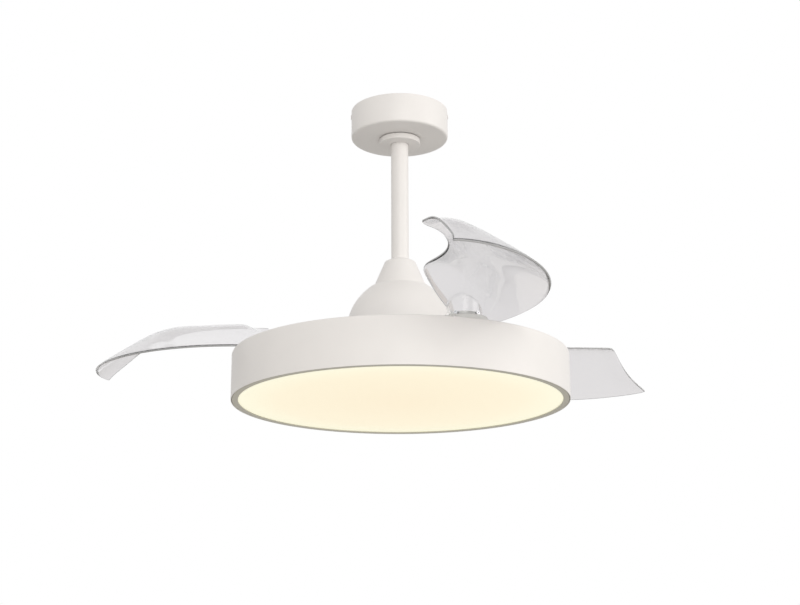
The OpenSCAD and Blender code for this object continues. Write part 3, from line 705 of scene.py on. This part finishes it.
class FAN_OT_drum(bpy.types.Operator):
    """Spins the lamp drum and its bayonet blocks"""

    bl_idname = "fan.drum"
    bl_label = "Lamp drum"

    def execute(self, context):
        sizes = context.scene.fan_sizes
        wall, edge = sizes.sheet / MM, sizes.drum_edge / MM
        radius, low, top = span("drum_shell")
        opening, block_depth, block_low, block_high, sunk = 60, 5.2, 8.5, 12, 0.2
        rivet_hole, rivet_azimuth = 1.6, 20
        bm = bmesh.new()
        spin_section(bm, [(opening, top), (radius, top), (radius, low), (radius - wall, low),
                          (radius - wall, top - wall), (opening, top - wall)],
                     {1: edge, 4: edge * 0.6, 2: SOFT, 3: SOFT}, steps=WIDE_STEPS)
        face = radius - wall + sunk
        latch_blocks(bm, face - block_depth, face, block_low, block_high)
        rivets = [(x, y, rivet_hole) for x, y in ring_of(4, RIVET_RING, rivet_azimuth)]
        mesh = drill(to_mesh(bm, "drum"), rivets, top - 5, top + 5)
        add_piece(mesh, "drum_can", "pendant", "white_paint", "drum_shell", crease=50)
        return {"FINISHED"}


class FAN_OT_lamp_cover(bpy.types.Operator):
    """Spins the trim ring with its bayonet rim, and the opal diffuser in it"""

    bl_idname = "fan.lamp_cover"
    bl_label = "Lamp cover"

    def execute(self, context):
        radius, low, top = span("diffuser_ring")
        inner = radius - context.scene.fan_sizes.trim_width / MM
        floor, rim, rim_wall = 1.6, 243, 1.5
        sunk, reach, block_low, block_high = 0.5, 3.5, 12.3, 14.8
        bm = bmesh.new()
        spin_section(bm, [(inner, low), (radius, low), (radius, floor), (rim, floor), (rim, top),
                          (rim - rim_wall, top), (rim - rim_wall, floor), (inner, floor)],
                     {0: 0.6, 1: 0.7, 4: 0.4, 5: 0.4}, steps=WIDE_STEPS)
        latch_blocks(bm, rim - sunk, rim + reach, block_low, block_high)
        add_piece(to_mesh(bm, "ring"), "trim_ring", "lamp_cover", "trim_grey", "diffuser_ring",
                  crease=50)
        pane_r, pane_low, pane_top = span("diffuser")
        pane = bmesh.new()
        spin_section(pane, [(0, pane_low), (pane_r, pane_low), (pane_r, pane_top), (0, pane_top)],
                     {1: 0.4, 2: 0.4}, steps=WIDE_STEPS, closed=False)
        add_piece(to_mesh(pane, "pane"), "diffuser_pane", "lamp_cover", "opal_acrylic", "diffuser")
        return {"FINISHED"}


# A blade is laid out by s along it, from root 0 to tip 1, and by t across it, from inner edge 0 to outer 1.
BLADE_INNER, BLADE_OUTER = 116.8, 249.0    # edge radii about the blade's own arc centre
EDGE_LOW, CREST_RISE = 78.0, 60.0          # height of the low edge, and of the crest above it
INNER_SPREAD, OUTER_SWEEP = 5, 19          # what the inner edge gains and the outer edge loses on the way
SWEEP_START = 0.66                         # s from where the outer edge draws in
ROOT_SETBACK, ROOT_FADE = 24, 0.055        # cut-back of the inner edge at the root, and how fast it fades
TIP_ROUND, TIP_STOP = 0.1, 0.998           # s in which the tip's corners round off, and where that stops
INNER_CORNER, OUTER_CORNER = 9, 6          # what the rounding takes off each edge
ROOT_AZIMUTH, TIP_AZIMUTH = 169.5, 71.2    # ends of the inner edge about the arc centre, in degrees
TIP_LIFT, CREST_DROOP, ROOT_DIP = 4, 4, 4  # low edge's rise at the tip, and the crest's fall at both ends
ROOT_END, ROOT_POWER = 0.18, 1.7           # s where the root's slope has become the crest, and its power
FALL_START = 0.12                          # t from where the skin falls away from its crest
HUMP = 0.13                                # share of the crest's rise by which the middle swells
HUMP_START, HUMP_FULL, HUMP_FADE = 0.35, 0.65, 0.88   # s where that begins, is full and fades again
BLADE_STEPS = (120, 30)                    # along and across
RIM_SOFT, RIM_ANGLE = 0.6, radians(50)     # softening of the skin's rim, and the edges it takes
SEARCH_STEPS = 12                          # rounds that find s and t over a place
END_CROWDING = 0.06                        # how far the steps crowd towards root and tip, as a share of s
ROOT_R, ROOT_WALL, ROOT_LOW = 24.0, 2.5, 78.5   # round wall that hangs from the skin over the hub
ROOT_STEPS, FILLET_STEPS = 120, 8
FILLET, SEAM = 0.6, 0.02                   # corner of that wall under the skin, and the gap between them
SHADED_FOOT = 2.6                                 # height of the wall's foot that takes the rim's painted shade, a dark band at its base
GEAR_SPACE, GEAR_DEPTH, GEAR_STEPS = 60, 20, 48   # radius, depth and steps of the space under the root
SCREW_HEIGHT, SCREW_HOLE, SCREW_REACH = 82.7, 1.6, 8   # height, radius and length of the screw holes
SCREW_SEGMENTS = 32
SCREW_AZIMUTHS = (-75, 0, 75)              # about the first blade's pivot
SKIN, EDGE, ROOT = 0, 1, 2                 # a blade's material slots: clear skin, edge with painted shade, root with painted light


def smooth(x):
    """Eases from 0 to 1."""
    c = min(1, max(0, x))
    return c * c * (3 - 2 * c)


def corner(s):
    """Rounding of the tip: a quarter circle that stops just before it stands upright."""
    u = min(1, max(0, (s - 1 + TIP_ROUND) / TIP_ROUND))
    return 1 - sqrt(1 - u * u * TIP_STOP)


def crest_share(s, t):
    """Share of the crest's rise at a point: a plain slope at the root, a crest and a droop further out."""
    slope = (1 - t) ** ROOT_POWER
    hump = HUMP * sin(pi * t) * smooth((s - HUMP_START) / (HUMP_FULL - HUMP_START))
    hump *= 1 - smooth((s - HUMP_FADE) / (1 - HUMP_FADE))
    crest = 1 - smooth((t - FALL_START) / (1 - FALL_START))
    # A slight lift beside the inner edge, and a stronger one before the outer edge.
    crest += 0.12 * t * (1 - t) ** 3 + 1.6 * t ** 4 * (1 - t)
    w = smooth(s / ROOT_END)
    return (1 - w) * slope + w * (crest + hump)


def edge_radii(s):
    """Radii of the inner and outer edges about the blade's arc centre, in millimetres."""
    inner = BLADE_INNER + INNER_SPREAD * s + ROOT_SETBACK * exp(-s / ROOT_FADE) + INNER_CORNER * corner(s)
    sweep = max(0, (s - SWEEP_START) / (1 - SWEEP_START))
    return inner, BLADE_OUTER - OUTER_SWEEP * sweep ** 2 - OUTER_CORNER * corner(s)


def end_azimuths(t):
    """Azimuths of the root and the tip about the blade's arc centre, in degrees; both lean and bulge."""
    return ROOT_AZIMUTH - 1.5 * t + 6 * t * (1 - t), TIP_AZIMUTH - 9.4 * t + 9 * t * (1 - t)


def skin_height(s, t, wall):
    """Height of the middle of the wall, in millimetres."""
    low = EDGE_LOW + wall / MM / 2 + TIP_LIFT * smooth((s - 0.6) / 0.4)
    rise = CREST_RISE - ROOT_DIP * exp(-s / 0.03) - CREST_DROOP * smooth((s - 0.7) / 0.3)
    return low + rise * crest_share(s, t)


def blade_point(s, t, centre, wall):
    """Middle of the first blade's wall, in metres."""
    (inner, outer), (root, tip) = edge_radii(s), end_azimuths(t)
    r, a = (inner + (outer - inner) * t) * MM, radians(root + (tip - root) * s)
    return Vector((centre.x + r * cos(a), centre.y + r * sin(a), height(skin_height(s, t, wall))))


def skin_over(place, centre, wall):
    """Height of the middle of the first blade's wall over a place near its root."""
    run = place - centre
    r, a = run.xy.length / MM, degrees(atan2(run.y, run.x))
    s = 0.1
    for _ in range(SEARCH_STEPS):
        inner, outer = edge_radii(s)
        t = (r - inner) / (outer - inner)
        root, tip = end_azimuths(t)
        s = (a - root) / (tip - root)
    return skin_height(s, t, wall)


def skin_under(place, centre, wall):
    """Height of the underside of the first blade's wall over a place near its root."""
    middle = skin_over(place, centre, wall)
    slope_x = skin_over(place + Vector((MM, 0, 0)), centre, wall) - middle
    slope_y = skin_over(place + Vector((0, MM, 0)), centre, wall) - middle
    return middle - wall / MM / 2 * sqrt(1 + slope_x ** 2 + slope_y ** 2)


class FAN_OT_blades(bpy.types.Operator):
    """Moulds one clear blade and sets three of them on their pivots"""

    bl_idname = "fan.blades"
    bl_label = "Blades"

    def skin(self, centre, wall):
        """The curved wall, its rim marked as a second material, the painted shade of its edge, and softened."""
        bm = bmesh.new()
        bmesh.ops.create_grid(bm, x_segments=BLADE_STEPS[0], y_segments=BLADE_STEPS[1], size=0.5)
        for v in bm.verts:
            x = v.co.x + 0.5
            v.co = blade_point(x - END_CROWDING * sin(TURN * x), v.co.y + 0.5, centre, wall)
        mesh = bpy.data.meshes.new("blade_skin")
        bm.to_mesh(mesh)
        bm.free()
        mesh.shade_smooth()
        obj = helper(mesh)
        thick = obj.modifiers.new("Wall", "SOLIDIFY")
        thick.thickness = wall
        thick.offset = 0
        thick.material_offset_rim = EDGE
        soft = obj.modifiers.new("Soft rim", "BEVEL")
        soft.limit_method = "ANGLE"
        soft.angle_limit = RIM_ANGLE
        soft.width = RIM_SOFT * MM
        soft.segments = 3
        return obj

    def root_wall(self, pivot, centre, wall):
        """The round wall under the skin; its underside and a band up its foot take the skin rim's painted shade.
        """
        bm = bmesh.new()
        loops = []
        for i in range(ROOT_STEPS):
            out = Vector((cos(TURN * i / ROOT_STEPS), sin(TURN * i / ROOT_STEPS), 0))
            outer = self.wall_edge(pivot, out, ROOT_R, 1, centre, wall)
            inner = self.wall_edge(pivot, out, ROOT_R - ROOT_WALL, -1, centre, wall)
            loops.append([bm.verts.new(co) for co in outer + inner[::-1]])
        for here, there in zip(loops, loops[1:] + loops[:1]):
            for k in range(len(here)):
                face = bm.faces.new((here[k - 1], here[k], there[k], there[k - 1]))
                face.material_index = EDGE if k in (0, 1, len(here) - 1) else ROOT
        return helper(to_mesh(bm, "root_wall"))

    def wall_edge(self, pivot, out, radius, side, centre, wall):
        """One side of the wall's section, from its foot to the underside of the skin."""
        foot = pivot + out * radius * MM
        points = [foot + Vector((0, 0, height(h))) for h in (ROOT_LOW, ROOT_LOW + SHADED_FOOT)]
        for step in range(FILLET_STEPS + 1):
            angle = pi / 2 * step / FILLET_STEPS
            place = pivot + out * (radius + side * FILLET * (1 - cos(angle))) * MM
            h = skin_under(place, centre, wall) - SEAM - FILLET * (1 - sin(angle))
            points.append(place + Vector((0, 0, height(h))))
        return points

    def openings(self, pivot):
        """The space that the gear takes, and the three screw holes."""
        gear = bmesh.new()
        low = ROOT_LOW - GEAR_DEPTH
        spin_section(gear, [(0, low), (GEAR_SPACE, low), (GEAR_SPACE, ROOT_LOW), (0, ROOT_LOW)],
                     centre=pivot, steps=GEAR_STEPS, closed=False)
        holes = bmesh.new()
        for azimuth in SCREW_AZIMUTHS:
            hole = cylinder(holes, SCREW_HOLE, SCREW_REACH, SCREW_SEGMENTS)
            place = (Matrix.Translation((pivot.x, pivot.y, height(SCREW_HEIGHT)))
                     @ Matrix.Rotation(radians(azimuth), 4, "Z")
                     @ Matrix.Translation(((ROOT_R - ROOT_WALL / 2) * MM, 0, 0))
                     @ Matrix.Rotation(pi / 2, 4, "Y"))
            bmesh.ops.transform(holes, matrix=place, verts=hole)
        return helper(to_mesh(gear, "gear_space")), helper(to_mesh(holes, "screw_holes"))

    def execute(self, context):
        wall = context.scene.fan_sizes.blade_wall
        joint = JOINTS["blade_swing_1"]
        pivot = Vector((joint["pos_m"][0], joint["pos_m"][1], 0))
        centre = pivot - Matrix.Rotation(radians(-joint["range_deg"][0]), 3, "Z") @ pivot
        gear, holes = self.openings(pivot)
        shells = [self.skin(centre, wall), self.root_wall(pivot, centre, wall)]
        materials = {SKIN: finish("clear_blade"), EDGE: shaded_blade_rim(), ROOT: lit_blade_root()}
        for shell in shells:
            for slot in sorted(materials):
                shell.data.materials.append(materials[slot])
            cut(shell, gear)
            cut(shell, holes)
        first = joined(settled(shells[0]), settled(shells[1], gear, holes))
        base = atan2(pivot.y, pivot.x)
        for number in (1, 2, 3):
            place = JOINTS[f"blade_swing_{number}"]["pos_m"]
            mesh = first.copy()
            mesh.transform(Matrix.Rotation(atan2(place[1], place[0]) - base, 4, "Z"))
            add_piece(mesh, f"blade_shell_{number}", f"blade_arm_{number}", "clear_blade",
                      f"blade_{number}", crease=40)
        bpy.data.meshes.remove(first)
        return {"FINISHED"}


SPRING_RING, SPRING_LUG, SPRING_PEG = 133.0, radians(10), radians(54)   # counted from a blade pivot
SPRING_HEIGHT = 77.6
COIL_R, WIRE_R, EYE_R, COIL_PITCH = 1.7, 0.5, 2.9, 2.4
HOOK_WIRE, HOOK_LEAD = 3.4, 4.2            # straight wire behind an eye, and the way from eye to coil
WIRE_SEGMENTS, COIL_SEGMENTS, EYE_SEGMENTS = 8, 14, 28


class FAN_OT_springs(bpy.types.Operator):
    """Winds the three return springs between the carrier's pegs and the ring's lugs"""

    bl_idname = "fan.springs"
    bl_label = "Return springs"

    def execute(self, context):
        for number in (1, 2, 3):
            place = JOINTS[f"blade_swing_{number}"]["pos_m"]
            base = atan2(place[1], place[0])
            ends = [Vector((SPRING_RING * MM * cos(base + a), SPRING_RING * MM * sin(base + a),
                            height(SPRING_HEIGHT))) for a in (SPRING_PEG, SPRING_LUG)]
            bm = bmesh.new()
            length = (ends[1] - ends[0]).length
            self.coil(bm, length)
            for side in (0, 1):
                self.hook(bm, length if side else 0, -1 if side else 1)
            run = (ends[1] - ends[0]).normalized()
            across = Vector((0, 0, 1)).cross(run)
            turn = Matrix((across, Vector((0, 0, 1)), run)).transposed().to_4x4()
            bmesh.ops.transform(bm, matrix=Matrix.Translation(ends[0]) @ turn, verts=bm.verts)
            spring = add_piece(to_mesh(bm, "spring"), f"spring_coil_{number}", None, "spring_steel",
                               "return_springs")
            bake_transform(spring)
        return {"FINISHED"}

    def coil(self, bm, length):
        """The wound middle, along +Z from the first eye."""
        lead = (EYE_R + HOOK_LEAD) * MM
        turns = round((length - 2 * lead) / (COIL_PITCH * MM))
        steps = turns * COIL_SEGMENTS
        ring = bmesh.ops.create_circle(bm, segments=WIRE_SEGMENTS, radius=WIRE_R * MM)["verts"]
        bmesh.ops.rotate(bm, verts=ring, cent=(0, 0, 0), matrix=Matrix.Rotation(pi / 2, 3, "X"))
        bmesh.ops.translate(bm, verts=ring, vec=(COIL_R * MM, 0, lead))
        bmesh.ops.spin(bm, geom=ring + edges_of(ring), axis=(0, 0, 1), cent=(0, 0, 0), steps=steps,
                       angle=TURN * turns, dvec=(0, 0, (length - 2 * lead) / steps))
        bmesh.ops.holes_fill(bm, edges=[e for e in bm.edges if e.is_boundary], sides=0)

    def hook(self, bm, at, side):
        """An eye around a post and the short straight wire behind it."""
        ring = bmesh.ops.create_circle(bm, segments=WIRE_SEGMENTS, radius=WIRE_R * MM)["verts"]
        bmesh.ops.translate(bm, verts=ring, vec=(EYE_R * MM, 0, at))
        bmesh.ops.spin(bm, geom=ring + edges_of(ring), axis=(0, 1, 0), cent=(0, 0, at),
                       steps=EYE_SEGMENTS, angle=TURN, use_merge=True)
        wire = cylinder(bm, WIRE_R, HOOK_WIRE, WIRE_SEGMENTS)
        bmesh.ops.translate(bm, verts=wire, vec=(0, 0, at + side * (EYE_R + HOOK_WIRE / 2) * MM))


LEAD_R, LEAD_BEND = 2.4, 8                 # radii of the supply lead and of its bend at the terminal block
LEAD_SLANT, LEAD_CENTRED = 20.5, 9         # height of its slant, and how far below the rod that starts
LEAD_STEPS, BEND_STEPS = 60, 8


class FAN_OT_supply_lead(bpy.types.Operator):
    """Lays the supply lead from the terminal block down the rod"""

    bl_idname = "fan.supply_lead"
    bl_label = "Supply lead"

    def execute(self, context):
        end, foot, top = span("supply_lead")
        aside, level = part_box("supply_lead")[1].y / MM - LEAD_R, top - LEAD_R
        turn_low, slant_low = level - LEAD_BEND, span("downrod")[1] - LEAD_CENTRED
        slant_top = slant_low + LEAD_SLANT
        rise = (turn_low - slant_top) / LEAD_STEPS
        angles = [pi / 2 * i / BEND_STEPS for i in range(BEND_STEPS + 1)]
        route = [(0, 0, foot), (0, 0, slant_low)]
        route += [(0, aside, slant_top + rise * i) for i in range(LEAD_STEPS)]
        route += [(LEAD_BEND * (1 - cos(a)), aside, turn_low + LEAD_BEND * sin(a)) for a in angles]
        route.append((end, aside, level))
        bm = bmesh.new()
        self.tube(bm, [Vector((x * MM, y * MM, height(h))) for x, y, h in route], LEAD_R * MM)
        lead = add_piece(to_mesh(bm, "lead"), "lead_cable", None, "cable_grey", "supply_lead")
        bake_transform(lead)
        return {"FINISHED"}

    def tube(self, bm, points, radius, segments=16):
        """A closed round tube along a path of points."""
        rings = []
        for i, point in enumerate(points):
            along = points[min(i + 1, len(points) - 1)] - points[max(i - 1, 0)]
            turn = Vector((0, 0, 1)).rotation_difference(along).to_matrix().to_4x4()
            rings.append(bmesh.ops.create_circle(bm, segments=segments, radius=radius,
                                                 matrix=Matrix.Translation(point) @ turn)["verts"])
        for here, there in zip(rings, rings[1:]):
            for k in range(segments):
                bm.faces.new((here[k - 1], here[k], there[k], there[k - 1]))
        for ring in (rings[0], rings[-1]):
            bm.faces.new(ring)


class FAN_OT_finishes(bpy.types.Operator):
    """Gives every carried-over CAD node its finish"""

    bl_idname = "fan.finishes"
    bl_label = "Finishes"

    def execute(self, context):
        for part in frame["record"]["subparts"]:
            obj = frame["nodes"][part["node"]]
            obj.data.materials.clear()
            obj.data.materials.append(finish(part["material_slot"]))
        return {"FINISHED"}


# ---------------------------------------------------------------- stage


FLOOR_HALF = 20                            # half of the floor's side, in metres
DAYLIGHT = linear("FFFDFA")
KEY_AZIMUTH, SIDE_AZIMUTH, SIDE_SHARE = 6, 75, 0.8
LAMP_AWAY, LAMP_RISE, LAMP_SIZE = 3.0, 0.12, 2.0
AIM = Vector((0, 0, -0.3))                 # middle of the fan, which the lamps face
STANDPOINT = Vector((0, -2.07426, -0.895))
PITCH, ROLL, YAW = 0.2752, -0.004, 0.0002
SENSOR = 36


class FAN_OT_stage(bpy.types.Operator):
    """Sets the floor, the lamps, the white surroundings and the camera"""

    bl_idname = "fan.stage"
    bl_label = "Stage"

    def execute(self, context):
        studio = context.scene.fan_studio
        context.scene.view_settings.view_transform = "Standard"
        self.floor(studio.floor_drop)
        self.lamp(KEY_AZIMUTH, studio.lamp_power)
        self.lamp(SIDE_AZIMUTH, studio.lamp_power * SIDE_SHARE)
        self.surroundings(context.scene, studio.ambient)
        self.camera(context.scene, studio.lens)
        return {"FINISHED"}

    def floor(self, drop):
        """A pale floor, wide enough to reach past everything that the blades mirror."""
        bm = bmesh.new()
        bmesh.ops.create_grid(bm, x_segments=1, y_segments=1, size=FLOOR_HALF)
        bmesh.ops.translate(bm, verts=bm.verts, vec=(0, 0, -drop))
        mesh = bpy.data.meshes.new("floor")
        bm.to_mesh(mesh)
        bm.free()
        obj = helper(mesh)
        colour = linear("EEEDEA")
        material, tree, shader, place = new_finish("floor_screed", colour, 0.8)
        grain(tree, shader, place, 6, 0.1)
        clouding(tree, shader, place, 400, toned(colour, 0.97), colour)
        mesh.materials.append(material)

    def lamp(self, azimuth, power):
        """A broad lamp, azimuth counted in degrees from the front towards the right."""
        data = bpy.data.lights.new(f"broad_lamp_{azimuth}", "AREA")
        data.energy = power
        data.shape = "DISK"
        data.size = LAMP_SIZE
        data.color = DAYLIGHT
        obj = bpy.data.objects.new(data.name, data)
        a = radians(azimuth)
        obj.location = AIM + LAMP_AWAY * Vector((sin(a), -cos(a), LAMP_RISE))
        obj.rotation_euler = (AIM - obj.location).to_track_quat("-Z", "Y").to_euler()
        bpy.context.scene.collection.objects.link(obj)

    def surroundings(self, scene, ambient):
        """White to the eye and in reflections, and a softer light on matt surfaces."""
        world = bpy.data.worlds.new("studio")
        world.use_nodes = True
        tree = world.node_tree
        tree.nodes.clear()
        path = add_node(tree, "ShaderNodeLightPath")
        seen = add_node(tree, "ShaderNodeMath", {"operation": "MAXIMUM"},
                        {0: path.outputs["Is Camera Ray"], 1: path.outputs["Is Glossy Ray"]})
        seen = add_node(tree, "ShaderNodeMath", {"operation": "MAXIMUM"},
                        {0: seen.outputs[0], 1: path.outputs["Is Transmission Ray"]})
        soft = add_node(tree, "ShaderNodeBackground",
                        {"Color": (*DAYLIGHT, 1), "Strength": ambient})
        white = add_node(tree, "ShaderNodeBackground", {"Color": (1, 1, 1, 1), "Strength": 1})
        both = add_node(tree, "ShaderNodeMixShader", links={
            0: seen.outputs[0], 1: soft.outputs[0], 2: white.outputs[0]})
        add_node(tree, "ShaderNodeOutputWorld", links={"Surface": both.outputs[0]})
        scene.world = world

    def camera(self, scene, lens):
        """At the photograph's standpoint: in front of the fan, a little below it, looking up."""
        data = bpy.data.cameras.new("camera")
        data.lens = lens
        data.sensor_width = SENSOR
        obj = bpy.data.objects.new("camera", data)
        scene.collection.objects.link(obj)
        obj.matrix_world = (Matrix.Translation(STANDPOINT) @ Matrix.Rotation(YAW, 4, "Z")
                            @ Matrix.Rotation(pi / 2 + PITCH, 4, "X") @ Matrix.Rotation(ROLL, 4, "Z"))
        scene.camera = obj


# ---------------------------------------------------------------- add-on

STEPS = (FAN_OT_canopy, FAN_OT_collar, FAN_OT_rod, FAN_OT_coupling_cover, FAN_OT_bell, FAN_OT_drum,
         FAN_OT_lamp_cover, FAN_OT_blades, FAN_OT_springs, FAN_OT_supply_lead, FAN_OT_finishes,
         FAN_OT_stage)


class FAN_PT_panel(bpy.types.Panel):
    """Lists the fan's settings and building steps"""

    bl_idname = "FAN_PT_panel"
    bl_label = "Retractable Blade Fan"
    bl_space_type = "VIEW_3D"
    bl_region_type = "UI"
    bl_category = "Fan"

    def draw(self, context):
        for group in (context.scene.fan_sizes, context.scene.fan_colours, context.scene.fan_studio):
            box = self.layout.box()
            for name in group.__annotations__:
                box.prop(group, name)
        for step in STEPS:
            self.layout.operator(step.bl_idname)


CLASSES = (FanSizes, FanColours, FanStudio, *STEPS, FAN_PT_panel)


def register():
    for cls in CLASSES:
        bpy.utils.register_class(cls)
    bpy.types.Scene.fan_sizes = PointerProperty(type=FanSizes)
    bpy.types.Scene.fan_colours = PointerProperty(type=FanColours)
    bpy.types.Scene.fan_studio = PointerProperty(type=FanStudio)


def unregister():
    del bpy.types.Scene.fan_studio
    del bpy.types.Scene.fan_colours
    del bpy.types.Scene.fan_sizes
    for cls in reversed(CLASSES):
        bpy.utils.unregister_class(cls)


def main():
    register()
    for step in STEPS:
        group, name = step.bl_idname.split(".")
        getattr(getattr(bpy.ops, group), name)()


if __name__ == "__main__":
    main()
